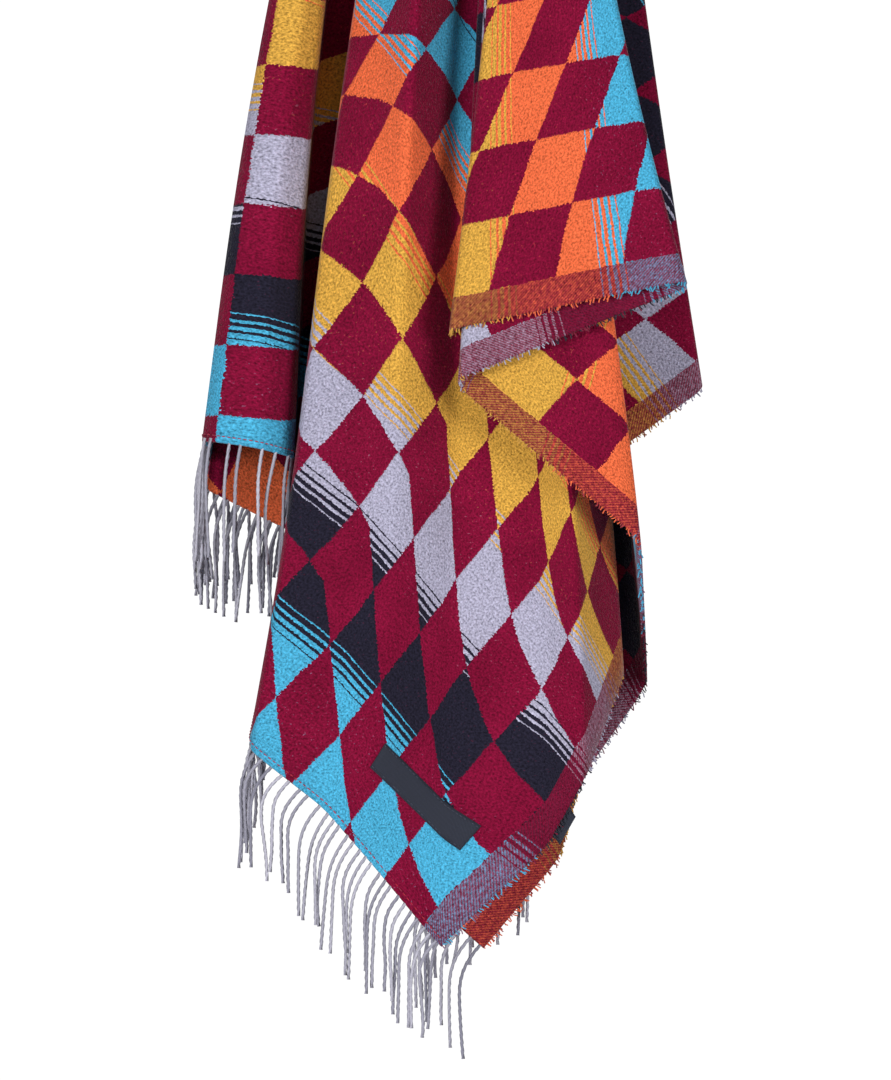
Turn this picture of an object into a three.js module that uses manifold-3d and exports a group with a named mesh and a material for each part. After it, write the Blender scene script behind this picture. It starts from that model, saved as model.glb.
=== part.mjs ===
// A checkered blanket hung by its middle, millimetres, +Z up.
// The origin is the hanging point. The face of the hanging looks along -Y.
import * as THREE from 'three';
import { mergeVertices } from 'three/addons/utils/BufferGeometryUtils.js';
import Module from 'manifold-3d';

const wasm = await Module();
wasm.setup();

// Cut sizes of the cloth
const HALF_WIDTH = 690;
const HALF_LENGTH = 765;
const CLOTH_THICK = 2;
const PIECE_GAP = 3.2;
const SEWN_GAP = 1.2;

// Hanging: straight lines run from the hanging point, and their plan is given at this depth
const PLAN_DEPTH = 750;
const DEPTH_CENTRE = 58;
const LEAST_DEPTH_SHARE = 0.42;
const BUNCH_RADIUS = 75;
const FOLD_ROUNDING = 6;
const CORNER = THREE.MathUtils.radToDeg(Math.atan2(HALF_WIDTH, HALF_LENGTH));

// Levels of the cloth between the bunch and the edge, as shares of each line
const LEVELS = [0, 0.16, 0.36, 0.58, 0.8, 1];

// The bunched middle, where the layers press into one lump: a row for each height of its profile
const LUMP_DEEPER = 2.3;
const LUMP = [
  { below: 0, across: 0 },
  { below: 3, across: 10 },
  { below: 10, across: 17 },
  { below: 24, across: 22.5 },
  { below: 42, across: 25.8 },
  { below: 58, across: 26.6 },
  { below: 74, across: 25.4 },
  { below: 92, across: 21.5 },
  { below: 125, across: 16 },
  { below: 160, across: 8 },
  { below: 180, across: 0 },
];

// Fringe, label and tag
const FRINGE = { strands: 69, strandWidth: 3.6, header: 6.2, length: 66 };
const LABEL = { u: 65, v: 47, long: 74, wide: 16, turn: 6.5, thick: 0.8, columns: 14, rows: 4 };
const TAG = { u: 1, v: 88, long: 16, wide: 20, turn: 0, thick: 0.8, columns: 4, rows: 4 };

// A row for each fold, in order round the hanging point.
// bearing: degrees in the flat cloth, from the warp line towards the first selvedge
// x, yIn, yOut: place across, and depth before and after the turn, at PLAN_DEPTH
// bow: sideways bend half-way down; lift: how far the edge is drawn up
// swell: how far the fold stands forward high up, dying away to the edge
const FOLDS = [
  { name: 'strip ridge', bearing: 0.9, x: -117, yIn: -24, yOut: -24, bow: -12, lift: -8 },
  { name: 'strip right', bearing: 3.72, x: -97.5, yIn: -6, yOut: 38, bow: -15, lift: -8 },
  { name: 'valley', bearing: 18.6, x: 59, yIn: 38, yOut: 30, bow: 0, lift: 0 },
  { name: 'panel left', bearing: 32.9, x: -96, yIn: 30, yOut: -24, bow: 5, lift: 0 },
  { name: 'panel ridge', bearing: 37.2, x: -62, yIn: -36, yOut: -36, bow: 0, lift: 0, swell: 18 },
  { name: 'panel crest', bearing: 39, x: -43, yIn: -33, yOut: -33, bow: 0, lift: 0, swell: 50 },
  { name: 'panel corner', bearing: 42.05, x: -12, yIn: -25, yOut: -25, bow: 0, lift: 0 },
  { name: 'panel hip', bearing: 44.9, x: 31, yIn: -32, yOut: -32, bow: 0, lift: 0 },
  { name: 'panel side', bearing: 46.8, x: 46, yIn: -42, yOut: -42, bow: 0, lift: 0 },
  { name: 'panel right', bearing: 51.2, x: 66, yIn: -16, yOut: -9, bow: 0, lift: 0 },
  { name: 'tuck left', bearing: 61, x: -55, yIn: -9, yOut: -2, bow: 0, lift: 0 },
  { name: 'tuck right', bearing: 72.1, x: 69.5, yIn: -2, yOut: -33, bow: 0, lift: 0 },
  { name: 'inner left', bearing: 79.8, x: -6, yIn: -33, yOut: -40, bow: 10, lift: 0 },
  { name: 'inner right', bearing: 86.4, x: 66, yIn: -40, yOut: -47, bow: 0, lift: 0 },
  { name: 'flap left', bearing: 94.3, x: -14, yIn: -47, yOut: -71, bow: 24, lift: -15 },
  { name: 'flap right', bearing: 105.7, x: 116.5, yIn: -71, yOut: -63, bow: -15, lift: 24 },
  { name: 'second left', bearing: 115.9, x: -9, yIn: -63, yOut: -55, bow: 16, lift: 32 },
  { name: 'third right', bearing: 126.5, x: 77, yIn: -55, yOut: 30, bow: 0, lift: 4 },
  { name: 'rust side', bearing: 132.8, x: 47, yIn: 54, yOut: 54, bow: 0, lift: 0 },
  { name: 'rust hip', bearing: 135.4, x: 37, yIn: 60, yOut: 60, bow: 0, lift: 0 },
  { name: 'rust corner', bearing: 137.95, x: 5, yIn: 50, yOut: 50, bow: 0, lift: 0 },
  { name: 'back left', bearing: 140.1, x: -20, yIn: 50, yOut: 56.5, bow: 0, lift: 0 },
  { name: 'back right', bearing: 143.5, x: 18, yIn: 56.5, yOut: 63, bow: 0, lift: 0 },
  { name: 'rear 1 left', bearing: 149.5, x: -54, yIn: 63, yOut: 69.5, bow: 0, lift: 0 },
  { name: 'rear 1 right', bearing: 153.7, x: -6, yIn: 69.5, yOut: 76, bow: 0, lift: 0 },
  { name: 'hem left', bearing: 164.4, x: -140, yIn: 76, yOut: 82.5, bow: 0, lift: 0 },
  { name: 'rear 2 right', bearing: 181, x: 70, yIn: 82.5, yOut: 89, bow: 0, lift: 0 },
  { name: 'rear 2 left', bearing: 193.7, x: -90, yIn: 89, yOut: 95.5, bow: 0, lift: 0 },
  { name: 'rear 3 right', bearing: 205.3, x: 55, yIn: 95.5, yOut: 102, bow: 0, lift: 0 },
  { name: 'rear 3 left', bearing: 213, x: -40, yIn: 102, yOut: 108.5, bow: 0, lift: 15 },
  { name: 'rear 4 right', bearing: 218.1, x: 20, yIn: 108.5, yOut: 115, bow: 0, lift: 32 },
  { name: 'rear 4 left', bearing: 221, x: -12, yIn: 115, yOut: 121.5, bow: 0, lift: 48 },
  { name: 'rear 5 right', bearing: 224.1, x: 22, yIn: 121.5, yOut: 128, bow: 0, lift: 42 },
  { name: 'rear 5 left', bearing: 231.1, x: -62, yIn: 128, yOut: 134.5, bow: 0, lift: 10 },
  { name: 'side right', bearing: 245.8, x: 124, yIn: 134.5, yOut: 141, bow: 7, lift: 18 },
  { name: 'rear 6 left', bearing: 264.1, x: -110, yIn: 141, yOut: 147.5, bow: 0, lift: 0 },
  { name: 'rear 6 right', bearing: 281, x: 104, yIn: 147.5, yOut: 154, bow: 0, lift: 0 },
  { name: 'rear 7 left', bearing: 296.4, x: -92, yIn: 154, yOut: 160.5, bow: 0, lift: 0 },
  { name: 'rear 7 right', bearing: 308.4, x: 58, yIn: 160.5, yOut: 167, bow: 0, lift: 10 },
  { name: 'rear 8 left', bearing: 316.4, x: -40, yIn: 167, yOut: 173.5, bow: 0, lift: 45 },
  { name: 'rear 8 right', bearing: 321.1, x: 15, yIn: 173.5, yOut: 180, bow: 0, lift: 42 },
  { name: 'rear 9 left', bearing: 326.9, x: -55, yIn: 180, yOut: 186.5, bow: 0, lift: 12 },
  { name: 'rear 9 right', bearing: 333.5, x: 24, yIn: 186.5, yOut: 193, bow: 0, lift: 0 },
  { name: 'strip left', bearing: 351.8, x: -143.7, yIn: 193, yOut: -14, bow: -9, lift: -8 },
];

const degrees = THREE.MathUtils.degToRad;
const ROUNDING_ANGLE = THREE.MathUtils.radToDeg(FOLD_ROUNDING / PLAN_DEPTH);

// Each fold turns over an angle that holds the cloth of its turn
function turnOf(fold) {
  const half = THREE.MathUtils.radToDeg(Math.abs(fold.yOut - fold.yIn) / (2 * PLAN_DEPTH));
  return { start: fold.bearing - half, end: fold.bearing + half };
}

// Knots of the plan, two for each fold, with one turn before and after so that it closes
const KNOTS = [-360, 0, 360].flatMap((shift) => FOLDS.flatMap((fold) => {
  const { start, end } = turnOf(fold);
  const { x, bow, lift, swell = 0 } = fold;
  return [
    { bearing: start + shift, x, y: fold.yIn, bow, lift, swell },
    { bearing: end + shift, x, y: fold.yOut, bow, lift, swell },
  ];
}));

// Plan place on the straight lines between knots
function knotPlace(bearing) {
  const next = KNOTS.findIndex((knot) => knot.bearing > bearing);
  const [a, b] = [KNOTS[next - 1], KNOTS[next]];
  const share = (bearing - a.bearing) / Math.max(b.bearing - a.bearing, 1e-9);
  const mix = (key) => a[key] + (b[key] - a[key]) * share;
  return { x: mix('x'), y: mix('y'), bow: mix('bow'), lift: mix('lift'), swell: mix('swell') };
}

// The same, with the corners rounded by a mean over a short length of cloth
function planPlace(bearing) {
  const offsets = [-1, -0.67, -0.33, 0, 0.33, 0.67, 1];
  const places = offsets.map((offset) => knotPlace(bearing + offset * ROUNDING_ANGLE));
  const mean = (key) => places.reduce((sum, place) => sum + place[key], 0) / places.length;
  return {
    x: mean('x'), y: mean('y') - DEPTH_CENTRE, bow: mean('bow'), lift: mean('lift'), swell: mean('swell'),
  };
}

// Length of the cloth along a bearing, from the middle to the edge
function reach(bearing) {
  const across = HALF_WIDTH / Math.max(Math.abs(Math.sin(degrees(bearing))), 1e-9);
  const along = HALF_LENGTH / Math.max(Math.abs(Math.cos(degrees(bearing))), 1e-9);
  return Math.min(across, along);
}

// Hung place of the point of the cloth at a bearing and a distance from its middle
function hung(bearing, distance) {
  const plan = planPlace(bearing);
  const share = distance / PLAN_DEPTH;
  const down = distance / reach(bearing);
  const left = Math.max(1 - down, 0);
  const x = plan.x * share + plan.bow * 4 * down * left;
  const depth = plan.y * Math.hypot(share, LEAST_DEPTH_SHARE) / Math.hypot(1, LEAST_DEPTH_SHARE);
  const y = depth - plan.swell * 6.75 * down * left * left;
  const level = Math.sqrt(Math.max(distance * distance - x * x - y * y, distance * distance / 4));
  return new THREE.Vector3(x, y, -level + plan.lift * down * down);
}

// Unit normal of the hung cloth, pointing out of its face side
function faceNormal(bearing, distance) {
  const turn = 0.05;
  const step = 1;
  const along = hung(bearing + turn, distance).sub(hung(bearing - turn, distance));
  const down = hung(bearing, distance + step).sub(hung(bearing, distance - step));
  return down.cross(along).normalize();
}

// Point of one face of the cloth, off its middle surface
function facePoint(bearing, distance, offset) {
  return hung(bearing, distance).addScaledVector(faceNormal(bearing, distance), offset);
}

// Bearings that carry the folds' turns, the middles of the layers and the four corners
function clothBearings() {
  const bearings = [CORNER, 180 - CORNER, 180 + CORNER, 360 - CORNER];
  FOLDS.forEach((fold, place) => {
    const { start, end } = turnOf(fold);
    const next = FOLDS[(place + 1) % FOLDS.length];
    const nextStart = turnOf(next).start + (place + 1 === FOLDS.length ? 360 : 0);
    bearings.push(start - ROUNDING_ANGLE, fold.bearing, end + ROUNDING_ANGLE);
    bearings.push((end + nextStart) / 2);
    if (end - start > 2 * ROUNDING_ANGLE) {
      bearings.push(start, end);
    }
  });
  const turned = bearings.map((bearing) => (bearing + 360) % 360).sort((a, b) => a - b);
  return turned.filter((bearing, place) => place === 0 || bearing - turned[place - 1] > 0.08);
}

const COLUMNS = clothBearings();

// Distance from the middle at a level of a line, and past its end when the level is over one
function levelDistance(bearing, level) {
  const past = Math.max(level - 1, 0);
  return BUNCH_RADIUS + (reach(bearing) - BUNCH_RADIUS) * Math.min(level, 1) + past * PLAN_DEPTH;
}

// Point of the faceted cloth, straight between its columns and its levels
function facetPoint(bearing, level, offset) {
  const turned = (bearing + 360) % 360;
  const after = COLUMNS.findIndex((column) => column > turned);
  const b = after < 0 ? COLUMNS[0] + 360 : COLUMNS[after];
  const a = after === 0 ? COLUMNS.at(-1) - 360 : COLUMNS.at(after < 0 ? -1 : after - 1);
  const here = (after === 0 && turned > b) ? turned - 360 : turned;
  const share = (here - a) / (b - a);
  const upper = LEVELS.findLastIndex((step) => step <= level);
  const onLine = (column) => {
    if (level >= 1) {
      return facePoint(column, levelDistance(column, level), offset);
    }
    const rise = (level - LEVELS[upper]) / (LEVELS[upper + 1] - LEVELS[upper]);
    const top = facePoint(column, levelDistance(column, LEVELS[upper]), offset);
    return top.lerp(facePoint(column, levelDistance(column, LEVELS[upper + 1]), offset), rise);
  };
  return onLine(a).lerp(onLine(b), share);
}

// Closed solid of a sheet: a grid of bearings and levels, the cells that are cloth, its faces' offsets
function sheetSolid(grid, cells, outer, inner) {
  const rows = grid.length;
  const columns = grid[0].length;
  const index = (row, column) => row * columns + column;
  const count = rows * columns;
  const positions = [];
  for (const offset of [outer, inner]) {
    for (const place of grid.flat()) {
      const point = facetPoint(place.bearing, place.level, offset);
      positions.push(point.x, point.y, point.z);
    }
  }
  const triangles = [];
  const quad = (a, b, c, d) => triangles.push(a, b, c, a, c, d);
  const borders = new Map();
  for (const [row, column] of cells) {
    const next = (column + 1) % columns;
    const corners = [index(row, column), index(row + 1, column), index(row + 1, next), index(row, next)];
    quad(...corners);
    quad(...corners.map((corner) => corner + count).reverse());
    corners.forEach((corner, place) => {
      const other = corners[(place + 1) % 4];
      if (!borders.delete(`${other},${corner}`)) {
        borders.set(`${corner},${other}`, [corner, other]);
      }
    });
  }
  for (const [a, b] of borders.values()) {
    quad(b, a, a + count, b + count);
  }
  const geometry = new THREE.BufferGeometry();
  geometry.setAttribute('position', new THREE.Float32BufferAttribute(positions, 3));
  geometry.setIndex(triangles);
  return mergeVertices(geometry, 1e-4);
}

function toManifold(geometry) {
  const bare = geometry.clone();
  bare.deleteAttribute('normal');
  bare.deleteAttribute('uv');
  const merged = mergeVertices(bare, 1e-4);
  const vertProperties = new Float32Array(merged.attributes.position.array);
  const triVerts = new Uint32Array(merged.index.array);
  return new wasm.Manifold(new wasm.Mesh({ numProp: 3, vertProperties, triVerts }));
}

function toGeometry(solid) {
  const mesh = solid.getMesh();
  const geometry = new THREE.BufferGeometry();
  geometry.setAttribute('position', new THREE.BufferAttribute(mesh.vertProperties, 3));
  geometry.setIndex(new THREE.BufferAttribute(mesh.triVerts, 1));
  return geometry;
}

// The blanket: the whole cloth, with its bunched middle joined on
function blanketGeometry() {
  const grid = LEVELS.map((level) => COLUMNS.map((bearing) => ({ bearing, level })));
  const cells = [];
  for (let row = 0; row < LEVELS.length - 1; row += 1) {
    COLUMNS.forEach((bearing, column) => cells.push([row, column]));
  }
  const cloth = toManifold(sheetSolid(grid, cells, CLOTH_THICK / 2, -CLOTH_THICK / 2));
  const profile = LUMP.map((row) => new THREE.Vector2(row.across, -row.below)).reverse();
  const lump = new THREE.LatheGeometry(profile, 22);
  lump.rotateX(Math.PI / 2);
  lump.scale(1, LUMP_DEEPER, 1);
  // Small pockets closed in under the lump are filled: only the outer shell is kept
  const shells = cloth.add(toManifold(lump)).decompose();
  shells.sort((first, second) => second.volume() - first.volume());
  return toGeometry(shells[0]);
}

// Bearing and level of a point of the flat cloth, from its first corner
function clothPlace(u, v) {
  const across = HALF_WIDTH - u;
  const along = HALF_LENGTH - v;
  const bearing = THREE.MathUtils.radToDeg(Math.atan2(across, along));
  const past = Math.hypot(across, along) - reach(bearing);
  const inside = 1 + past / (reach(bearing) - BUNCH_RADIUS);
  return { bearing, level: past > 0 ? 1 + past / PLAN_DEPTH : inside };
}

// A fringe: a comb whose strands carry on down the hanging lines past one end
function fringeGeometry(middleBearing) {
  const pitch = 2 * HALF_WIDTH / FRINGE.strands;
  const strandEdges = [];
  for (let strand = 0; strand < FRINGE.strands; strand += 1) {
    const across = (strand + 0.5) * pitch - HALF_WIDTH;
    strandEdges.push([-1, 1].map((side) => {
      const edge = across + side * FRINGE.strandWidth / 2;
      return THREE.MathUtils.radToDeg(Math.atan2(edge, HALF_LENGTH)) + middleBearing;
    }));
  }
  const first = strandEdges[0][0];
  const last = strandEdges.at(-1)[1];
  const turns = [...COLUMNS, ...COLUMNS.map((bearing) => bearing - 360)];
  const bearings = [...strandEdges.flat(), ...turns.filter((turn) => turn > first && turn < last)];
  bearings.sort((a, b) => a - b);
  const kept = bearings.filter((bearing, place) => place === 0 || bearing - bearings[place - 1] > 0.004);
  const pasts = [PIECE_GAP, FRINGE.header, FRINGE.length];
  const grid = pasts.map((past) => kept.map((bearing) => ({ bearing, level: 1 + past / PLAN_DEPTH })));
  const cells = [];
  for (let column = 0; column < kept.length - 1; column += 1) {
    const middle = (kept[column] + kept[column + 1]) / 2;
    cells.push([0, column]);
    if (strandEdges.some(([start, end]) => start < middle && middle < end)) {
      cells.push([1, column]);
    }
  }
  return sheetSolid(grid, cells, CLOTH_THICK / 2, -CLOTH_THICK / 2);
}

// A thin oblong patch that follows the cloth, turned by some degrees from the weave
function patchGeometry(patch, outer, inner) {
  const { long, wide, columns, rows } = patch;
  const sine = Math.sin(degrees(patch.turn));
  const cosine = Math.cos(degrees(patch.turn));
  const grid = [];
  const cells = [];
  for (let row = 0; row <= rows; row += 1) {
    const across = wide / 2 - wide * row / rows;
    grid.push([]);
    for (let column = 0; column <= columns; column += 1) {
      const along = long * column / columns - long / 2;
      const u = patch.u - along * cosine + across * sine;
      const v = patch.v + along * sine + across * cosine;
      grid[row].push(clothPlace(u, v));
      if (row < rows && column < columns) {
        cells.push([row, column]);
      }
    }
  }
  return sheetSolid(grid, cells, outer, inner);
}

function labelGeometry() {
  const back = CLOTH_THICK / 2 + SEWN_GAP;
  return patchGeometry(LABEL, back + LABEL.thick, back);
}

function tagGeometry() {
  const front = -CLOTH_THICK / 2 - SEWN_GAP;
  return patchGeometry(TAG, front, front - TAG.thick);
}

function piece(name, geometry, colour, roughness) {
  const material = new THREE.MeshStandardMaterial({ color: colour, roughness, metalness: 0 });
  const mesh = new THREE.Mesh(geometry, material);
  mesh.name = name;
  return mesh;
}

const hanging = new THREE.Group();
hanging.add(
  piece('blanket', blanketGeometry(), '#820f32', 0.95),
  piece('fringe_front', fringeGeometry(0), '#9a99a8', 0.95),
  piece('fringe_back', fringeGeometry(180), '#9a99a8', 0.95),
  piece('label', labelGeometry(), '#232632', 0.8),
  piece('side_tag', tagGeometry(), '#232632', 0.8),
);

export default hanging;
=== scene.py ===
"""A checkered wool blanket hung by its middle.

Metres, +Z up, the hanging point at the origin, the side that is looked at facing -Y.
"""
import math

import bpy
import numpy as np
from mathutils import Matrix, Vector

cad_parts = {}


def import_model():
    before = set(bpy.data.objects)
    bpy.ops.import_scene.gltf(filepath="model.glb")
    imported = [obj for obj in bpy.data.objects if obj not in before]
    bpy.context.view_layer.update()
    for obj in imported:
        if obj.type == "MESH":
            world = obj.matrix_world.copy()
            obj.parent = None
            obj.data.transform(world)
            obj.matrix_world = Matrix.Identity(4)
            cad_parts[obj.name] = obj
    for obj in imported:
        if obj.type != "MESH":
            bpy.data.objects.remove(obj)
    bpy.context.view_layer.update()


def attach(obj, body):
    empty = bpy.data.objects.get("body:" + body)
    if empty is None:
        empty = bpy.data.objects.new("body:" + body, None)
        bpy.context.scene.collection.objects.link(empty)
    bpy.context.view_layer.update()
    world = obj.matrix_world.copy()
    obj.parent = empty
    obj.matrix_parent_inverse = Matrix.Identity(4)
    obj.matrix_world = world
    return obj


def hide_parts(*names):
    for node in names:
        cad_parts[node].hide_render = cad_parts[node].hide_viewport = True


MM = 0.001
RNG = np.random.default_rng(4930)

# Cut sizes of the cloth
WIDTH = 1.380
LENGTH = 1.530
HALF_WIDTH = WIDTH / 2
HALF_LENGTH = LENGTH / 2
CLOTH_THICK = 2.4 * MM
SELVEDGE = 15 * MM

# Hanging: straight lines run from the hanging point, and their plan is given at this depth
PLAN_DEPTH = 0.750
DEPTH_CENTRE = 58
LEAST_DEPTH_SHARE = 0.42
BUNCH_RADIUS = 0.075
FOLD_ROUNDING = 7 * MM
CORNER = math.degrees(math.atan2(HALF_WIDTH, HALF_LENGTH))

# A row for each fold, in order round the hanging point: bearing in the flat cloth in degrees,
# then in millimetres the place across, the depth before and after the turn, bow and lift
FOLDS = (
    ("strip ridge", 0.9, -117, -24, -24, -12, -8),
    ("strip right", 3.72, -97.5, -6, 38, -15, -8),
    ("valley", 18.6, 59, 38, 30, 0, 0),
    ("panel left", 32.9, -96, 30, -24, 5, 0),
    ("panel ridge", 37.2, -62, -36, -36, 0, 0),
    ("panel crest", 39, -43, -33, -33, 0, 0),
    ("panel corner", 42.05, -12, -25, -25, 0, 0),
    ("panel hip", 44.9, 31, -32, -32, 0, 0),
    ("panel side", 46.8, 46, -42, -42, 0, 0),
    ("panel right", 51.2, 66, -16, -9, 0, 0),
    ("tuck left", 61, -55, -9, -2, 0, 0),
    ("tuck right", 72.1, 69.5, -2, -33, 0, 0),
    ("inner left", 79.8, -6, -33, -40, 10, 0),
    ("inner right", 86.4, 66, -40, -47, 0, 0),
    ("flap left", 94.3, -14, -47, -71, 24, -15),
    ("flap right", 105.7, 116.5, -71, -63, -15, 24),
    ("second left", 115.9, -9, -63, -55, 16, 32),
    ("third right", 126.5, 77, -55, 30, 0, 4),
    ("rust side", 132.8, 47, 54, 54, 0, 0),
    ("rust hip", 135.4, 37, 60, 60, 0, 0),
    ("rust corner", 137.95, 5, 50, 50, 0, 0),
    ("back left", 140.1, -20, 50, 56.5, 0, 0),
    ("back right", 143.5, 18, 56.5, 63, 0, 0),
    ("rear 1 left", 149.5, -54, 63, 69.5, 0, 0),
    ("rear 1 right", 153.7, -6, 69.5, 76, 0, 0),
    ("hem left", 164.4, -140, 76, 82.5, 0, 0),
    ("rear 2 right", 181, 70, 82.5, 89, 0, 0),
    ("rear 2 left", 193.7, -90, 89, 95.5, 0, 0),
    ("rear 3 right", 205.3, 55, 95.5, 102, 0, 0),
    ("rear 3 left", 213, -40, 102, 108.5, 0, 15),
    ("rear 4 right", 218.1, 20, 108.5, 115, 0, 32),
    ("rear 4 left", 221, -12, 115, 121.5, 0, 48),
    ("rear 5 right", 224.1, 22, 121.5, 128, 0, 42),
    ("rear 5 left", 231.1, -62, 128, 134.5, 0, 10),
    ("side right", 245.8, 124, 134.5, 141, 7, 18),
    ("rear 6 left", 264.1, -110, 141, 147.5, 0, 0),
    ("rear 6 right", 281, 104, 147.5, 154, 0, 0),
    ("rear 7 left", 296.4, -92, 154, 160.5, 0, 0),
    ("rear 7 right", 308.4, 58, 160.5, 167, 0, 10),
    ("rear 8 left", 316.4, -40, 167, 173.5, 0, 45),
    ("rear 8 right", 321.1, 15, 173.5, 180, 0, 42),
    ("rear 9 left", 326.9, -55, 180, 186.5, 0, 12),
    ("rear 9 right", 333.5, 24, 186.5, 193, 0, 0),
    ("strip left", 351.8, -143.7, 193, -14, -9, -8),
)
# How far some folds stand forward high up, dying away to the edge
SWELLS = {"panel ridge": 18, "panel crest": 50}

# Profile of the bunched middle, in millimetres: below the hanging point, half width across
LUMP = ((0, 0), (3, 10), (10, 17), (24, 22.5), (42, 25.8), (58, 26.6), (74, 25.4), (92, 21.5),
        (125, 16), (160, 8), (180, 0))
LUMP_DEEPER = 2.3
LUMP_RINGS = 36
LUMP_COLUMNS = 120
PLEAT_DEPTH = 0.075
PLEAT_START = 60 * MM

# Makes a swell of one reach one at its highest, a third of the way down
SWELL_PEAK = 6.75

# Small waves of the hung cloth: height, turns across and down for each metre, and start
SLOW_RIPPLE = (2.2 * MM, 34, 9, 0.6)
QUICK_RIPPLE = (1.6 * MM, 71, -17, 0.0)
SIDE_RIPPLE = (1.6 * MM, 0, 15, 0.9)

# The front panel hangs on the bias: the bearings and levels between which its weave is drawn out
PANEL_START = (22, 34)
PANEL_END = (61, 52)
PANEL_HIGH = (0.745, 0.56)
PANEL_LOW = (1.0, 0.85)
PANEL_MIDDLE = 38.7
PANEL_SPREAD = 0.32
PANEL_SIDE = 41.5
SIDE_SPREAD = 0.29
PANEL_DROP = 25 * MM

# How finely the cloth is meshed
CLOTH_ROWS = 56
ROW_CROWDING = 0.92
FOLD_COLUMNS = 11
PLAIN_STEP = 0.9
LEAST_STEP = 0.07

# Weave: checks, bands of weft colour, and the slow drift of the cross lines
CHECK = 37.5 * MM
BAND = LENGTH / 25
BAND_BLEND = 21 * MM
BAND_STRIPE = 3.6 * MM
DRIFT_LENGTH = 0.700
DRIFT_HEIGHT = 0.0995
TWILL = 2.2 * MM
DRIFT_EASE = 0.45
DRIFT_TURN = 0.6
TURN_START = 0.190
TURN_END = 0.620
FAR_START = 0.33
FAR_END = 0.72
BAND_SKEW = 0.2

# Yarn on the edges
STRANDS = 230
STRAND_LENGTH = 63 * MM
STRAND_RADIUS = 1.2 * MM
FRAYS = 1300
FRAY_REACH = 2.8 * MM
FRAY_RADIUS = 0.38 * MM
FRAY_ROOT = 1.5 * MM
STRAND_STEPS = 15
STRAND_BEND = 0.55
STRAND_WAVE = 0.06

# Stitches: pitch, length and thread radius
HEM_INSET = 2.6 * MM
HEM_STITCH = {"Pitch": 3.2 * MM, "Stitch length": 2.4 * MM, "Thread radius": 0.3 * MM}
LABEL_STITCH = {"Pitch": 2.6 * MM, "Stitch length": 1.9 * MM, "Thread radius": 0.26 * MM}
LABEL_INSET = 1.3 * MM
SEAM_POINTS = 40

# Sewn pieces: middle in the flat cloth, length, width, and degrees turned from the weave
LABEL = {"u": 65 * MM, "v": 47 * MM, "long": 74 * MM, "wide": 16 * MM, "turn": 6.5}
TAG = {"u": 1 * MM, "v": 88 * MM, "long": 16 * MM, "wide": 20 * MM, "turn": 0}
TAPE_THICK = 0.8 * MM
TAPE_GAP = 0.3 * MM

# Camera: square on, aimed at the middle of the frame
FRAME_HIGH = 0.579
AIM_X = -0.0158
AIM_Z = -0.8094
CAMERA_AWAY = 4.2
FOCUS_DEPTH = -0.063
SENSOR_HIGH = 24
ROOM_LIGHT = 0.15
ROOM_WHITE = 1.05
FLOOR_RADIUS = 2.1
FLOOR_LEVEL = -1.36

# Lamps: place, aim, width of the square and power
LAMPS = {
    "key": ((-1.7, -2.6, -0.4), (0, 0, -0.8), 0.9, 69),
    "fill": ((1.75, -2.5, -0.6), (0, 0, -0.9), 1.0, 46),
    "back": ((0.9, 2.5, -0.1), (0, 0, -0.7), 1.6, 60),
}


def rgb(red, green, blue):
    """A screen colour of 0 to 255 as the linear colour that shaders take."""
    def linear(value):
        share = value / 255
        if share <= 0.04045:
            return share / 12.92
        return ((share + 0.055) / 1.055) ** 2.4
    return (linear(red), linear(green), linear(blue), 1.0)


MAROON = rgb(136, 18, 56)
MAROON_DEEP = rgb(104, 8, 40)
BLUE = rgb(72, 166, 204)
BLACK = rgb(34, 32, 46)
GREY = rgb(168, 165, 187)
YELLOW = rgb(208, 158, 67)
ORANGE = rgb(228, 105, 64)
BANDS = (BLUE, BLACK, GREY, YELLOW, ORANGE)


# The hung shape

def knot_columns():
    """Bearings and plan columns of the knots, two for each fold, with a turn before and after."""
    rows = []
    for name, bearing, x, y_in, y_out, bow, lift in FOLDS:
        half = math.degrees(abs(y_out - y_in) * MM / (2 * PLAN_DEPTH))
        swell = SWELLS.get(name, 0)
        rows.append((bearing - half, x, y_in, bow, lift, swell))
        rows.append((bearing + half + 1e-6, x, y_out, bow, lift, swell))
    one = np.array(rows)
    turns = [one + np.array([shift, 0, 0, 0, 0, 0]) for shift in (-360, 0, 360)]
    return np.concatenate(turns).T


KNOTS = knot_columns()


def plan_at(bearing):
    """Place across, depth, bow, lift and swell at the plan depth, rounded where the cloth folds."""
    window = math.degrees(FOLD_ROUNDING / PLAN_DEPTH)
    offsets = np.linspace(-1, 1, 13)
    weights = 1 + np.cos(offsets * math.pi * 0.9)
    weights /= weights.sum()
    total = np.zeros((5,) + bearing.shape)
    for offset, weight in zip(offsets, weights):
        here = bearing + offset * window
        total += weight * np.array([np.interp(here, KNOTS[0], column) for column in KNOTS[1:]])
    total[1] -= DEPTH_CENTRE
    return total * MM


def reach(bearing):
    """Length of the cloth along a bearing, from its middle to its edge."""
    angle = np.radians(bearing)
    across = HALF_WIDTH / np.maximum(np.abs(np.sin(angle)), 1e-9)
    along = HALF_LENGTH / np.maximum(np.abs(np.cos(angle)), 1e-9)
    return np.minimum(across, along)


def ripple(form, x, z):
    """Height of a small wave of the cloth at places across and down."""
    height, across, down, start = form
    return height * np.sin(x * across + z * down + start)


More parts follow.
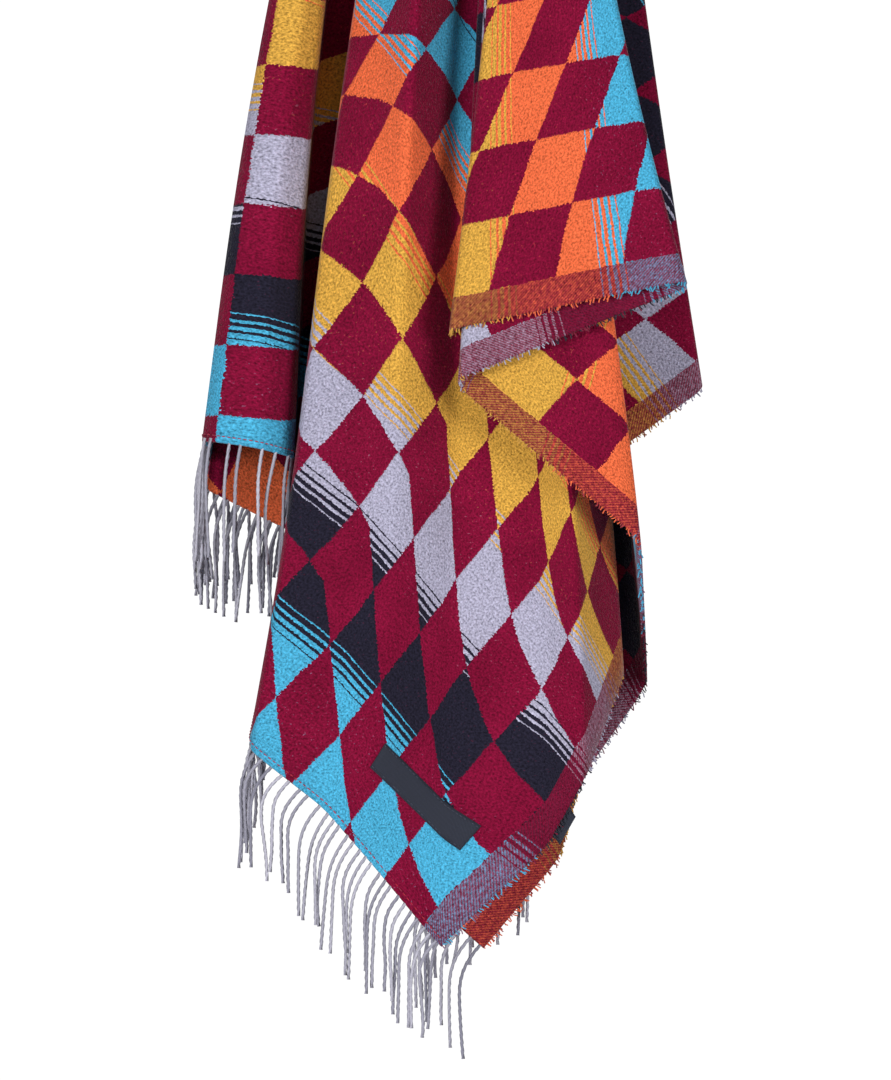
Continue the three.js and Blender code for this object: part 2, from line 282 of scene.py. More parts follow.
def hung(bearing, distance):
    """Hung places of the points of the cloth at bearings and distances from its middle."""
    plan_x, plan_y, bow, lift, swell = plan_at(bearing)
    share = distance / PLAN_DEPTH
    down = distance / reach(bearing)
    left = np.maximum(1 - down, 0)
    x = plan_x * share + bow * 4 * down * left
    y = plan_y * np.hypot(share, LEAST_DEPTH_SHARE) / math.hypot(1, LEAST_DEPTH_SHARE)
    y = y - swell * SWELL_PEAK * down * left ** 2
    square = distance ** 2
    level = np.sqrt(np.maximum(square - x ** 2 - y ** 2, square / 4))
    z = -level + lift * down ** 2
    y = y + ripple(SLOW_RIPPLE, x, z) * share + ripple(QUICK_RIPPLE, x, z) * share
    x = x + ripple(SIDE_RIPPLE, x, z) * share
    return np.stack([x, y, z], axis=-1)


def face_normal(bearing, distance):
    """Unit normals of the hung cloth, out of its face side."""
    along = hung(bearing + 0.08, distance) - hung(bearing - 0.08, distance)
    down = hung(bearing, distance + MM) - hung(bearing, distance - MM)
    normal = np.cross(down, along)
    return normal / np.maximum(np.linalg.norm(normal, axis=-1, keepdims=True), 1e-12)


def cloth_place(u, v):
    """Bearing and distance of points of the flat cloth, from its first corner."""
    across = HALF_WIDTH - np.asarray(u, float)
    along = HALF_LENGTH - np.asarray(v, float)
    return np.degrees(np.arctan2(across, along)), np.hypot(across, along)


def cloth_point(u, v, off=0.0):
    """Hung place of points of the flat cloth, some way off its middle surface."""
    bearing, distance = cloth_place(u, v)
    bearing = np.where(bearing < -90, bearing + 360, bearing)
    off = np.asarray(off, float)
    return hung(bearing, distance) + face_normal(bearing, distance) * off[..., None]


def eased(value, start, end):
    """A smooth rise from nought at one value to one at another."""
    share = np.clip((value - start) / (end - start), 0, 1)
    return share * share * (3 - 2 * share)


def weave_place(bearing, distance):
    """Flat place of hung points, with the weave of the front panel drawn out of square."""
    panel = eased(bearing, *PANEL_START) * eased(bearing, *PANEL_END)
    high = panel * eased(distance, *PANEL_HIGH)
    side = panel * eased(distance / reach(bearing), *PANEL_LOW)
    spread = PANEL_SPREAD * (bearing - PANEL_MIDDLE) * high
    bearing = bearing + spread + SIDE_SPREAD * np.maximum(bearing - PANEL_SIDE, 0) * side
    distance = distance + PANEL_DROP * high
    angle = np.radians(bearing)
    u = HALF_WIDTH - np.sin(angle) * distance
    v = HALF_LENGTH - np.cos(angle) * distance
    return np.stack([u, v], axis=-1)


# Meshes

def new_piece(name, mesh, materials):
    """An object at the origin that carries a mesh and its materials."""
    for material in materials:
        mesh.materials.append(material)
    piece = bpy.data.objects.new(name, mesh)
    bpy.context.scene.collection.objects.link(piece)
    return piece


def smooth_mesh(name, points, faces, flat=None, material_of=None):
    """A smooth-shaded mesh, with the flat cloth's coordinates as its UV map."""
    mesh = bpy.data.meshes.new(name)
    mesh.from_pydata(points.tolist(), [], faces)
    mesh.polygons.foreach_set("use_smooth", [True] * len(mesh.polygons))
    if material_of is not None:
        mesh.polygons.foreach_set("material_index", material_of)
    if flat is not None:
        layer = mesh.uv_layers.new(name="cloth")
        corners = np.zeros(len(mesh.loops), dtype=np.int32)
        mesh.loops.foreach_get("vertex_index", corners)
        layer.data.foreach_set("uv", flat[corners].astype(np.float32).ravel())
    mesh.update()
    return mesh


def cloth_bearings():
    """Bearings of the cloth's columns: close together at the folds, wider between them."""
    spread = [np.array([CORNER, 180 - CORNER, 180 + CORNER, 360 - CORNER])]
    window = math.degrees(FOLD_ROUNDING / PLAN_DEPTH)
    for _, bearing, _, y_in, y_out, _, _ in FOLDS:
        half = math.degrees(abs(y_out - y_in) * MM / (2 * PLAN_DEPTH)) + window
        spread.append(np.linspace(bearing - half, bearing + half, FOLD_COLUMNS))
    spread.append(np.arange(0, 360, PLAIN_STEP))
    turned = np.sort(np.concatenate(spread) % 360)
    keep = np.concatenate([[True], np.diff(turned) > LEAST_STEP])
    return turned[keep]


def sheet_mesh():
    """The whole cloth with both faces, a rounded edge and its bunched middle."""
    bearings = cloth_bearings()
    levels = np.linspace(0, 1, CLOTH_ROWS) ** ROW_CROWDING
    columns = len(bearings)
    rows = len(levels)
    edge = reach(bearings)
    distance = BUNCH_RADIUS + (edge - BUNCH_RADIUS)[None, :] * levels[:, None]
    bearing = np.broadcast_to(bearings, distance.shape)
    middle = hung(bearing, distance)
    normal = face_normal(bearing, distance)
    flat = weave_place(bearing, distance)
    rim = hung(bearings, edge + CLOTH_THICK * 0.35)
    points = np.concatenate([
        (middle + normal * CLOTH_THICK / 2).reshape(-1, 3),
        (middle - normal * CLOTH_THICK / 2).reshape(-1, 3),
        rim,
    ])
    flats = np.concatenate([flat.reshape(-1, 2), flat.reshape(-1, 2), flat[-1]])
    count = rows * columns
    faces = []
    material_of = []
    for row in range(rows - 1):
        for column in range(columns):
            after = (column + 1) % columns
            a = row * columns + column
            b = (row + 1) * columns + column
            c = (row + 1) * columns + after
            d = row * columns + after
            faces.append((a, b, c, d))
            faces.append((d + count, c + count, b + count, a + count))
            material_of += [0, 1]
    last = (rows - 1) * columns
    for column in range(columns):
        after = (column + 1) % columns
        faces.append((last + column, 2 * count + column, 2 * count + after, last + after))
        faces.append((2 * count + column, last + count + column, last + count + after, 2 * count + after))
        faces.append((column + count, column, after, after + count))
        material_of += [0, 1, 0]
    crown_points, crown_faces, crown_flats = crown()
    start = len(points)
    faces += [tuple(corner + start for corner in face) for face in crown_faces]
    material_of += [0] * len(crown_faces)
    points = np.concatenate([points, crown_points])
    flats = np.concatenate([flats, crown_flats])
    return smooth_mesh("blanket", points, faces, flats, material_of)


def crown():
    """The bunched middle of the cloth: a rounded knot of it, with pleats that deepen downwards."""
    profile = np.array(LUMP, float) * MM
    rings = LUMP_RINGS
    around = LUMP_COLUMNS
    down = np.linspace(0, profile[-1, 0], rings + 2)[1:-1]
    width = np.interp(down, profile[:, 0], profile[:, 1])
    turn = np.linspace(0, 2 * math.pi, around, endpoint=False)
    pleat = 0.6 * np.cos(13 * turn + 0.7) + 0.4 * np.cos(22 * turn + 1.9)
    depth = np.minimum(down / PLEAT_START, 1)[:, None] * PLEAT_DEPTH
    radius = width[:, None] * (1 + depth * pleat[None, :])
    x = radius * np.sin(turn)[None, :]
    y = -radius * LUMP_DEEPER * np.cos(turn)[None, :]
    z = -np.broadcast_to(down[:, None], radius.shape)
    ends = np.array([[0, 0, 0], [0, 0, -profile[-1, 0]]])
    points = np.concatenate([np.stack([x, y, z], axis=-1).reshape(-1, 3), ends])
    walked = (down + 0.6 * width)[:, None]
    flat = np.stack([
        HALF_WIDTH + walked * np.sin(turn)[None, :],
        HALF_LENGTH - walked * np.cos(turn)[None, :],
    ], axis=-1).reshape(-1, 2)
    flat = np.concatenate([flat, [[HALF_WIDTH, HALF_LENGTH], [HALF_WIDTH, HALF_LENGTH]]])
    faces = []
    top = rings * around
    for column in range(around):
        after = (column + 1) % around
        faces.append((top, column, after))
        faces.append((top + 1, (rings - 1) * around + after, (rings - 1) * around + column))
        for ring in range(rings - 1):
            a = ring * around + column
            faces.append((a, a + around, ring * around + after + around, ring * around + after))
    return points, faces, flat


def patch_place(patch, along, across):
    """Flat place of points of a sewn patch, from its middle along and across it."""
    sine = math.sin(math.radians(patch["turn"]))
    cosine = math.cos(math.radians(patch["turn"]))
    return patch["u"] - along * cosine + across * sine, patch["v"] + along * sine + across * cosine


def patch_mesh(name, patch, outer, inner, columns=26, rows=8):
    """A thin sewn-on patch that follows the cloth, with its edges turned over."""
    along = np.linspace(-patch["long"] / 2, patch["long"] / 2, columns)
    across = np.linspace(patch["wide"] / 2, -patch["wide"] / 2, rows)
    u, v = patch_place(patch, *np.meshgrid(along, across))
    rim = np.minimum(np.minimum(np.arange(columns), np.arange(columns)[::-1])[None, :],
                     np.minimum(np.arange(rows), np.arange(rows)[::-1])[:, None])
    dip = np.where(rim == 0, 0.45, 0.0) * (outer - inner)
    upper = cloth_point(u, v, outer - dip)
    lower = cloth_point(u, v, np.full(u.shape, inner))
    count = columns * rows
    points = np.concatenate([upper.reshape(-1, 3), lower.reshape(-1, 3)])
    flat = np.stack([u, v], axis=-1).reshape(-1, 2)
    faces = []
    for row in range(rows - 1):
        for column in range(columns - 1):
            a = row * columns + column
            quad = (a, a + columns, a + columns + 1, a + 1)
            faces.append(quad)
            faces.append(tuple(corner + count for corner in reversed(quad)))
    border = list(range(columns)) + [row * columns + columns - 1 for row in range(1, rows)]
    border += [count - 1 - step for step in range(1, columns)]
    border += [row * columns for row in range(rows - 2, 0, -1)]
    for a, b in zip(border, border[1:] + border[:1]):
        faces.append((a, b, b + count, a + count))
    return smooth_mesh(name, points, faces, np.concatenate([flat, flat]))


# Yarn: paths first, then a tree that sweeps them

def path_mesh(name, paths, cloth_along, shades):
    """Loose polylines, with how far along the cloth each is rooted and a shade for each yarn."""
    points = np.concatenate(paths)
    edges = []
    start = 0
    for path in paths:
        edges += [(start + step, start + step + 1) for step in range(len(path) - 1)]
        start += len(path)
    mesh = bpy.data.meshes.new(name)
    mesh.from_pydata(points.tolist(), edges, [])
    sizes = [len(path) for path in paths]
    for label, values in (("cloth_v", cloth_along), ("shade", shades)):
        layer = mesh.attributes.new(label, "FLOAT", "POINT")
        layer.data.foreach_set("value", np.repeat(np.asarray(values, float), sizes))
    return mesh


def strand_paths(far_end):
    """Fringe strands of one end: they leave square to the edge and bend until they hang."""
    paths = []
    down = np.array([0.0, 0.0, -1.0])
    for strand in range(STRANDS):
        u = (strand + 0.5 + RNG.uniform(-0.22, 0.22)) * WIDTH / STRANDS
        v = LENGTH if far_end else 0.0
        out = 2 * MM if far_end else -2 * MM
        root = cloth_point(u, v - out * 0.5)
        leave = cloth_point(u, v + out) - cloth_point(u, v)
        leave /= np.linalg.norm(leave)
        length = STRAND_LENGTH * RNG.uniform(0.84, 1.06)
        lean = RNG.normal(0, 0.05, 3)
        wave = RNG.uniform(0, 2 * math.pi, 2)
        side = RNG.normal(0, 1.0, 2)
        place = root.copy()
        path = [place.copy()]
        for step in range(STRAND_STEPS):
            share = (step + 0.5) / STRAND_STEPS
            bend = min(share / STRAND_BEND, 1)
            bend = bend * bend * (3 - 2 * bend)
            heading = leave * (1 - bend) + (down + lean * 0.8) * bend
            heading[0] += STRAND_WAVE * side[0] * math.sin(5 * share + wave[0])
            heading[1] += STRAND_WAVE * side[1] * math.sin(4 * share + wave[1])
            place = place + heading / np.linalg.norm(heading) * length / STRAND_STEPS
            path.append(place.copy())
        paths.append(np.array(path))
    return paths


def fray_paths(far_side):
    """Short ends of weft that stand out along one selvedge."""
    paths = []
    along = []
    step = np.linspace(0, 1, 5)
    edge = WIDTH if far_side else 0.0
    sign = 1 if far_side else -1
    for fray in range(FRAYS):
        v = (fray + 0.5 + RNG.uniform(-0.5, 0.5)) * LENGTH / FRAYS
        out = FRAY_REACH * RNG.uniform(0.35, 1.3)
        skew = RNG.normal(0, 1.1) * MM
        curl = RNG.normal(0, 0.7) * MM
        off = RNG.normal(0, 0.9) * MM
        u = edge + sign * (step * (out + FRAY_ROOT) - FRAY_ROOT)
        here = v + skew * step + curl * np.sin(step * math.pi)
        paths.append(cloth_point(u, here, off * step))
        along.append(min(max(v, 0.0), LENGTH))
    return paths, along


def edge_line(v, off, inset=4 * MM, points=900):
    """A line along an end of the cloth, on one of its faces."""
    u = np.linspace(inset, WIDTH - inset, points)
    return cloth_point(u, np.full(points, v), np.full(points, off))


def tree_with(name, sockets):
    """An empty geometry tree with named inputs, its input node and its output socket."""
    tree = bpy.data.node_groups.new(name, "GeometryNodeTree")
    for label, kind in sockets:
        tree.interface.new_socket(label, in_out="INPUT", socket_type=kind)
    tree.interface.new_socket("Mesh", in_out="OUTPUT", socket_type="NodeSocketGeometry")
    return tree, tree.nodes.new("NodeGroupInput"), tree.nodes.new("NodeGroupOutput")


def tree_node(tree, kind, links=(), settings=None):
    """A node of a geometry tree, with its settings and then its linked or fixed inputs."""
    made = tree.nodes.new(kind)
    for key, value in (settings or {}).items():
        setattr(made, key, value)
    for label, value in dict(links).items():
        if isinstance(value, bpy.types.NodeSocket):
            tree.links.new(value, made.inputs[label])
        else:
            made.inputs[label].default_value = value
    return made


def yarn_tree():
    """Spun yarn: each path swept by a lobed section that turns along it."""
    tree, given, result = tree_with("spun yarn", (
        ("Paths", "NodeSocketGeometry"),
        ("Radius", "NodeSocketFloat"),
        ("Groove", "NodeSocketFloat"),
        ("Plies", "NodeSocketInt"),
        ("Turns per metre", "NodeSocketFloat"),
        ("Yarn", "NodeSocketMaterial"),
    ))
    lines = tree_node(tree, "GeometryNodeMeshToCurve", {"Mesh": given.outputs["Paths"]})
    along = tree_node(tree, "GeometryNodeSplineParameter")
    turns = tree_node(tree, "ShaderNodeMath", {
        0: along.outputs["Length"], 1: given.outputs["Turns per metre"],
    }, {"operation": "MULTIPLY"})
    angle = tree_node(tree, "ShaderNodeMath", {0: turns.outputs[0], 1: 2 * math.pi},
                      {"operation": "MULTIPLY"})
    tilted = tree_node(tree, "GeometryNodeSetCurveTilt", {
        "Curve": lines.outputs["Curve"], "Tilt": angle.outputs[0],
    })
    section = tree_node(tree, "GeometryNodeCurveStar", {
        "Points": given.outputs["Plies"],
        "Inner Radius": given.outputs["Groove"],
        "Outer Radius": given.outputs["Radius"],
    })
    swept = tree_node(tree, "GeometryNodeCurveToMesh", {
        "Curve": tilted.outputs["Curve"],
        "Profile Curve": section.outputs["Curve"],
        "Fill Caps": True,
    })
    rounded = tree_node(tree, "GeometryNodeSetShadeSmooth", {"Geometry": swept.outputs["Mesh"]})
    real = tree_node(tree, "GeometryNodeRealizeInstances", {"Geometry": rounded.outputs["Geometry"]})
    dressed = tree_node(tree, "GeometryNodeSetMaterial", {
        "Geometry": real.outputs["Geometry"], "Material": given.outputs["Yarn"],
    })
    tree.links.new(dressed.outputs["Geometry"], result.inputs["Mesh"])
    return tree


def stitch_tree():
    """Sewing: stitches of thread set along a line at an even pitch."""
    tree, given, result = tree_with("running stitch", (
        ("Line", "NodeSocketGeometry"),
        ("Pitch", "NodeSocketFloat"),
        ("Stitch length", "NodeSocketFloat"),
        ("Thread radius", "NodeSocketFloat"),
        ("Thread", "NodeSocketMaterial"),
    ))
    line = tree_node(tree, "GeometryNodeMeshToCurve", {"Mesh": given.outputs["Line"]})
    spots = tree_node(tree, "GeometryNodeCurveToPoints", {
        "Curve": line.outputs["Curve"], "Length": given.outputs["Pitch"],
    }, {"mode": "LENGTH"})
    bead = tree_node(tree, "GeometryNodeMeshUVSphere", {"Segments": 6, "Rings": 5, "Radius": 1.0})
    half = tree_node(tree, "ShaderNodeMath", {0: given.outputs["Stitch length"], 1: 0.5},
                     {"operation": "MULTIPLY"})
    size = tree_node(tree, "ShaderNodeCombineXYZ", {
        "X": given.outputs["Thread radius"],
        "Y": given.outputs["Thread radius"],
        "Z": half.outputs[0],
    })
    placed = tree_node(tree, "GeometryNodeInstanceOnPoints", {
        "Points": spots.outputs["Points"],
        "Instance": bead.outputs["Mesh"],
        "Rotation": spots.outputs["Rotation"],
        "Scale": size.outputs["Vector"],
    })
    real = tree_node(tree, "GeometryNodeRealizeInstances", {"Geometry": placed.outputs["Instances"]})
    rounded = tree_node(tree, "GeometryNodeSetShadeSmooth", {"Geometry": real.outputs["Geometry"]})
    dressed = tree_node(tree, "GeometryNodeSetMaterial", {
        "Geometry": rounded.outputs["Geometry"], "Material": given.outputs["Thread"],
    })
    tree.links.new(dressed.outputs["Geometry"], result.inputs["Mesh"])
    return tree


def grown(name, mesh, tree, values):
    """A piece whose mesh is what a tree makes of some paths, with no modifier left on it."""
    piece = new_piece(name, mesh, ())
    modifier = piece.modifiers.new("grown", "NODES")
    modifier.node_group = tree
    inputs = {item.name: item.identifier for item in tree.interface.items_tree if item.in_out == "INPUT"}
    for label, value in values.items():
        modifier[inputs[label]] = value
    graph = bpy.context.evaluated_depsgraph_get()
    made = bpy.data.meshes.new_from_object(
        piece.evaluated_get(graph), preserve_all_data_layers=True, depsgraph=graph)
    piece.modifiers.clear()
    piece.data = made
    made.name = name
    return piece


# Finishes

class Wire:
    """A socket of a finish, with arithmetic that adds Math nodes."""

    def __init__(self, finish, socket):
        self.finish = finish
        self.socket = socket

    def math(self, operation, *others):
        return self.finish.math(operation, self, *others)

    def __add__(self, other):
        return self.math("ADD", other)

    __radd__ = __add__

    def __mul__(self, other):
        return self.math("MULTIPLY", other)

    __rmul__ = __mul__

    def __sub__(self, other):
        return self.math("SUBTRACT", other)

    def __rsub__(self, other):
        return self.finish.math("SUBTRACT", other, self)

    def __truediv__(self, other):
        return self.math("DIVIDE", other)

    def __mod__(self, other):
        return self.math("FLOORED_MODULO", other)

    def __gt__(self, other):
        return self.math("GREATER_THAN", other)

    def __lt__(self, other):
        return self.math("LESS_THAN", other)

    def floor(self):
        return self.math("FLOOR")

    def fract(self):
        return self.math("FRACT")

    def wave(self, length):
        """A sine of the value with that length."""
        return (self * (2 * math.pi / length)).math("SINE")


class Finish:
    """A material being made: one way to add a node, and a principled shader at its end."""

    def __init__(self, name, constants):
        self.material = bpy.data.materials.new(name)
        self.material.use_nodes = True
        self.tree = self.material.node_tree
        self.tree.nodes.clear()
        self.shader = self.node("ShaderNodeBsdfPrincipled", values=constants)
        end = self.node("ShaderNodeOutputMaterial")
        self.tree.links.new(self.shader.outputs["BSDF"], end.inputs["Surface"])

    def node(self, kind, settings=None, values=None):
        made = self.tree.nodes.new(kind)
        for key, value in (settings or {}).items():
            if key == "stops":
                self.set_stops(made.color_ramp, value)
            else:
                setattr(made, key, value)
        for key, value in (values or {}).items():
            socket = made.inputs[key] if isinstance(key, int) else self.find(made.inputs, key)
            if isinstance(value, Wire):
                self.tree.links.new(value.socket, socket)
            else:
                socket.default_value = value
        return made

    @staticmethod
    def find(sockets, key):
        return next(socket for socket in sockets if key in (socket.identifier, socket.name))

    @staticmethod
    def set_stops(ramp, stops):
        ramp.interpolation = "CONSTANT"
        while len(ramp.elements) < len(stops):
            ramp.elements.new(1.0)
        for element, (place, colour) in zip(ramp.elements, stops):
            element.position = place
            element.color = colour

    def wire(self, kind, output, settings=None, values=None):
        made = self.node(kind, settings, values)
        return Wire(self, self.find(made.outputs, output))

    def math(self, operation, *operands):
        made = self.node("ShaderNodeMath", {"operation": operation}, dict(enumerate(operands)))
        return Wire(self, made.outputs[0])

    def mix(self, share, first, second, blend="MIX"):
        values = {"Factor_Float": share, "A_Color": first, "B_Color": second}
        settings = {"data_type": "RGBA", "blend_type": blend}
        return self.wire("ShaderNodeMix", "Result_Color", settings, values)

    def noise(self, vector, scale, detail=2.0, rough=0.5):
        values = {"Vector": vector, "Scale": scale, "Detail": detail, "Roughness": rough}
        return self.wire("ShaderNodeTexNoise", "Fac", values=values)

    def shaded(self, colour, brightness):
        """A colour made lighter or darker by a value near one."""
        grey = self.wire("ShaderNodeCombineColor", "Color",
                         values={"Red": brightness, "Green": brightness, "Blue": brightness})
        return self.mix(1.0, colour, grey, "MULTIPLY")

    def feed(self, name, value):
        self.tree.links.new(value.socket, self.shader.inputs[name])

    def bump(self, height, strength, distance):
        values = {"Height": height, "Strength": strength, "Distance": distance}
        self.feed("Normal", self.wire("ShaderNodeBump", "Normal", values=values))


WOOL = {"Roughness": 0.95, "Specular IOR Level": 0.06, "Sheen Weight": 0.2, "Sheen Roughness": 0.3}
YARN = {"Roughness": 0.92, "Specular IOR Level": 0.2, "Sheen Weight": 0.15, "Sheen Roughness": 0.5}
TAPE = {"Roughness": 0.75, "Specular IOR Level": 0.3}


def band_colour(finish, v):
    """Colour of the weft at a place along the cloth, with fine stripes where two bands meet."""
    bands = v / BAND
    nearest = (bands + 0.5).floor()
    through = (bands - nearest) * (BAND / BAND_BLEND) + 0.5
    before = (v / BAND_STRIPE).fract() > through
    count = round(LENGTH / BAND)
    index = (nearest - before).math("MAXIMUM", 0).math("MINIMUM", count - 1)
    place = (index % len(BANDS) + 0.5) / len(BANDS)
    stops = [(number / len(BANDS), colour) for number, colour in enumerate(BANDS)]
    return finish.wire("ShaderNodeValToRGB", "Color", {"stops": stops}, {"Fac": place})


def wool_finish(name, swapped):
    """The checkered twill, seen on its face or, with the two yarns swapped, on its reverse."""
    finish = Finish(name, WOOL)
    flat = finish.wire("ShaderNodeUVMap", "UV", {"uv_map": "cloth"})
    split = finish.node("ShaderNodeSeparateXYZ", values={"Vector": flat})
    u = Wire(finish, split.outputs["X"])
    v = Wire(finish, split.outputs["Y"])
    fuzz = finish.noise(flat, 820.0, 1.0, 0.6)
    fibre = finish.noise(flat, 420.0, 3.0, 0.8)
    cloud = finish.noise(flat, 30.0, 3.0)
    wander = (finish.noise(flat, 60.0, 3.0) - 0.5) * (3.0 * MM) + (fuzz - 0.5) * (3.2 * MM)
    far = finish.wire("ShaderNodeMapRange", "Result", {"interpolation_type": "SMOOTHSTEP"}, {
        "Value": v, "From Min": FAR_START, "From Max": FAR_END, "To Min": 0.0, "To Max": 1.0,
    })
    drift = (u + DRIFT_LENGTH / 4).wave(DRIFT_LENGTH) * (1 - far * DRIFT_EASE) * -DRIFT_HEIGHT
    turn = (u - TURN_START).math("MINIMUM", TURN_END - u).math("MAXIMUM", 0)
    drift = drift - turn * (1 - far) * DRIFT_TURN
    lean = u.math("MINIMUM", HALF_WIDTH - u).math("MAXIMUM", 0)
    across = (u - SELVEDGE + wander) / CHECK
    along = (v - drift + wander) / CHECK
    ground = (across.floor() + along.floor()) % 2 < 0.5
    if swapped:
        ground = 1 - ground
    twill = (u + v + (fuzz - 0.5) * (1.4 * MM)).wave(TWILL)
    weft = band_colour(finish, v + lean * far * BAND_SKEW + wander * 0.5)
    maroon = finish.mix(cloud, MAROON_DEEP, MAROON)
    # A little of each yarn shows through the other in specks along the twill lines
    shows = (fibre + twill * 0.04 > 0.66) * 0.22
    maroon_check = finish.mix(shows * 0.7, maroon, weft)
    colour = finish.mix(shows, weft, maroon)
    check = finish.mix(ground, colour, maroon_check)
    ribs = (u - v + (fuzz - 0.5) * (1.2 * MM)).wave(1.9 * MM) * 0.2 + (fibre - 0.5) * 1.3
    band_edge = finish.mix((ribs + 0.25).math("MAXIMUM", 0.05).math("MINIMUM", 0.85), maroon, weft)
    at_edge = (u < SELVEDGE).math("MAXIMUM", u > WIDTH - SELVEDGE)
    pattern = finish.mix(at_edge, check, band_edge)
    light = -0.62 + fuzz * 1.90 + fibre * 1.10 + twill * 0.03 + cloud * 0.18
    finish.feed("Base Color", finish.shaded(pattern, light))
    finish.feed("Roughness", 0.86 + fuzz * 0.14)
    finish.bump(twill * 0.08 + fuzz * 1.4 + fibre * 1.6, 0.7, 0.9 * MM)
    return finish.material


def yarn_finish(name, banded):
    """Loose yarn: grey warp in the fringe, or weft in the colour of its band."""
    finish = Finish(name, YARN)
    shade = finish.wire("ShaderNodeAttribute", "Fac", {"attribute_name": "shade"})
    place = finish.wire("ShaderNodeTexCoord", "Object")
    fuzz = finish.noise(place, 900.0, 2.0, 0.6)
    if banded:
        v = finish.wire("ShaderNodeAttribute", "Fac", {"attribute_name": "cloth_v"})
        colour = band_colour(finish, v)
        colour = finish.mix((shade > 0.72) * 0.8, colour, MAROON)
    else:
        colour = finish.mix(shade, rgb(128, 127, 142), rgb(182, 180, 193))
    finish.feed("Base Color", finish.shaded(colour, 0.74 + fuzz * 0.5))
    finish.bump(fuzz, 0.6, 0.3 * MM)
    return finish.material


def tape_finish():
    """Dark woven tape, blank, with fine ribs across it."""
    finish = Finish("label tape", TAPE)
    flat = finish.wire("ShaderNodeUVMap", "UV", {"uv_map": "cloth"})
    split = finish.node("ShaderNodeSeparateXYZ", values={"Vector": flat})
    u = Wire(finish, split.outputs["X"])
    v = Wire(finish, split.outputs["Y"])
    ribs = u.wave(0.8 * MM) * v.wave(1.1 * MM)
    fuzz = finish.noise(flat, 700.0, 2.0)
    colour = finish.mix(ribs * 0.5 + 0.5, rgb(26, 29, 40), rgb(48, 52, 66))
    finish.feed("Base Color", finish.shaded(colour, 0.8 + fuzz * 0.4))
    finish.feed("Roughness", 0.66 + fuzz * 0.2)
    finish.bump(ribs + fuzz * 0.6, 0.5, 0.25 * MM)
    return finish.material


def thread_finish(name, first, second):
    """Sewing thread in two tones that change from stitch to stitch."""
    finish = Finish(name, YARN)
    place = finish.wire("ShaderNodeTexCoord", "Object")
    tone = finish.noise(place, 210.0, 1.0)
    finish.feed("Base Color", finish.mix(tone > 0.5, first, second))
    return finish.material


def floor_finish():
    """Pale matt floor."""
    finish = Finish("pale floor", {"Roughness": 0.8, "Specular IOR Level": 0.2})
    place = finish.wire("ShaderNodeTexCoord", "Object")
    cloud = finish.noise(place, 1.5, 3.0)
    finish.feed("Base Color", finish.mix(cloud, rgb(226, 226, 228), rgb(236, 236, 237)))
    return finish.material


# Studio

def area_light(name, place, aim, size, power):
    """A square lamp at a place, turned to its aim."""
    data = bpy.data.lights.new(name, "AREA")
    data.shape = "RECTANGLE"
    data.size = size
    data.size_y = size
    data.energy = power
    lamp = bpy.data.objects.new(name, data)
    bpy.context.scene.collection.objects.link(lamp)
    lamp.location = place
    direction = np.array(aim) - np.array(place)
    lamp.rotation_euler = Vector(direction).to_track_quat("-Z", "Y").to_euler()


def studio():
    """A white room with a pale floor and three soft lamps."""
    scene = bpy.context.scene
    scene.view_settings.view_transform = "Standard"
    world = bpy.data.worlds.new("white room")
    scene.world = world
    world.use_nodes = True
    tree = world.node_tree
    back = tree.nodes["Background"]
    back.inputs["Color"].default_value = (1.0, 1.0, 1.0, 1.0)
    # The room looks white, and lights the cloth softly
    ray = tree.nodes.new("ShaderNodeLightPath")
    strength = tree.nodes.new("ShaderNodeMapRange")
    strength.inputs["To Min"].default_value = ROOM_LIGHT
    strength.inputs["To Max"].default_value = ROOM_WHITE
    tree.links.new(ray.outputs["Is Camera Ray"], strength.inputs["Value"])
    tree.links.new(strength.outputs["Result"], back.inputs["Strength"])
    for name, lamp in LAMPS.items():
        area_light(name, *lamp)
    turns = np.linspace(0, 2 * math.pi, 96)[:-1]
    ring = [(FLOOR_RADIUS * math.cos(t), FLOOR_RADIUS * math.sin(t), FLOOR_LEVEL) for t in turns]
    mesh = bpy.data.meshes.new("floor")
    mesh.from_pydata(ring, [], [tuple(range(len(ring)))])
    new_piece("floor", mesh, [floor_finish()])


def camera():
    """The camera, square on to the side that is looked at."""
    data = bpy.data.cameras.new("camera")
    data.sensor_fit = "VERTICAL"
    data.sensor_height = SENSOR_HIGH
    data.lens = SENSOR_HIGH * (CAMERA_AWAY + FOCUS_DEPTH) / FRAME_HIGH
    data.clip_end = 60
    eye = bpy.data.objects.new("camera", data)
    eye.location = (AIM_X, -CAMERA_AWAY, AIM_Z)
    eye.rotation_euler = (math.pi / 2, 0, 0)
    bpy.context.scene.collection.objects.link(eye)
    bpy.context.scene.camera = eye


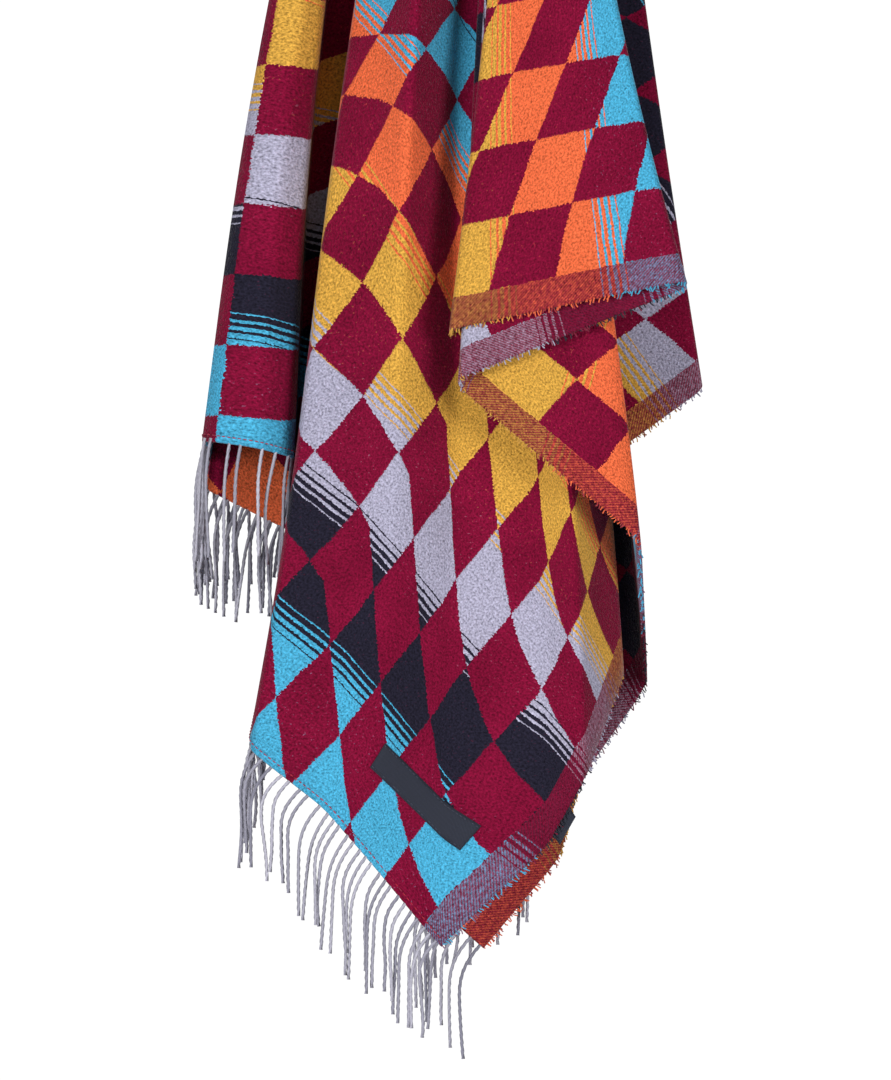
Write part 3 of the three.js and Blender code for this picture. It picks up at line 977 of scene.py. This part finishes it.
def build():
    """The whole blanket, with its camera and lights."""
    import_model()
    camera()
    studio()

    blanket = new_piece("blanket_cloth", sheet_mesh(), [
        wool_finish("wool face", False),
        wool_finish("wool reverse", True),
    ])
    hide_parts("blanket")

    spun = yarn_tree()
    fringe_yarn = yarn_finish("fringe yarn", False)
    weft_yarn = yarn_finish("weft yarn", True)
    fringes = []
    for name, node, far in (("front_fringe", "fringe_front", False), ("back_fringe", "fringe_back", True)):
        paths = strand_paths(far)
        along = [LENGTH if far else 0.0] * len(paths)
        mesh = path_mesh(name, paths, along, RNG.uniform(0, 1, len(paths)))
        fringe = grown(name, mesh, spun, {
            "Radius": STRAND_RADIUS, "Groove": STRAND_RADIUS * 0.62, "Plies": 3,
            "Turns per metre": 75.0, "Yarn": fringe_yarn,
        })
        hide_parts(node)
        fringes.append(fringe)
    frays = []
    for name, far in (("near_selvedge_frays", False), ("far_selvedge_frays", True)):
        paths, along = fray_paths(far)
        mesh = path_mesh(name, paths, along, RNG.uniform(0, 1, len(paths)))
        fray = grown(name, mesh, spun, {
            "Radius": FRAY_RADIUS, "Groove": FRAY_RADIUS * 0.8, "Plies": 3,
            "Turns per metre": 60.0, "Yarn": weft_yarn,
        })
        frays.append(fray)

    tape = tape_finish()
    back = CLOTH_THICK / 2 + TAPE_GAP
    label = new_piece("blank_label", patch_mesh("label", LABEL, back + TAPE_THICK, back), [tape])
    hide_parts("label")
    tag = new_piece("blank_side_tag", patch_mesh("side_tag", TAG, -back, -back - TAPE_THICK), [tape])
    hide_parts("side_tag")

    sewing = stitch_tree()
    hem_thread = thread_finish("hem thread", rgb(150, 40, 66), rgb(168, 34, 54))
    dark_thread = thread_finish("label thread", rgb(60, 64, 80), rgb(40, 43, 56))
    stitches = []
    face = CLOTH_THICK / 2 + 0.2 * MM
    for name, v in (("front_hem_stitches", HEM_INSET), ("back_hem_stitches", LENGTH - HEM_INSET)):
        line = path_mesh(name, [edge_line(v, face)], [v], [0.5])
        stitches.append(grown(name, line, sewing, {**HEM_STITCH, "Thread": hem_thread}))
    half_long = LABEL["long"] / 2 - LABEL_INSET
    half_wide = LABEL["wide"] / 2 - LABEL_INSET
    seam = np.linspace(-half_long, half_long, SEAM_POINTS)
    lines = []
    for across in (half_wide, -half_wide):
        u, v = patch_place(LABEL, seam, across)
        lines.append(cloth_point(u, v, np.full(SEAM_POINTS, back + TAPE_THICK + 0.05 * MM)))
    line = path_mesh("label_stitches", lines, [0.0, 0.0], [0.5, 0.5])
    stitches.append(grown("label_stitches", line, sewing, {**LABEL_STITCH, "Thread": dark_thread}))

    with_cloth = fringes + frays + [label, tag] + stitches
    for piece in [blanket] + with_cloth:
        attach(piece, "root")


build()
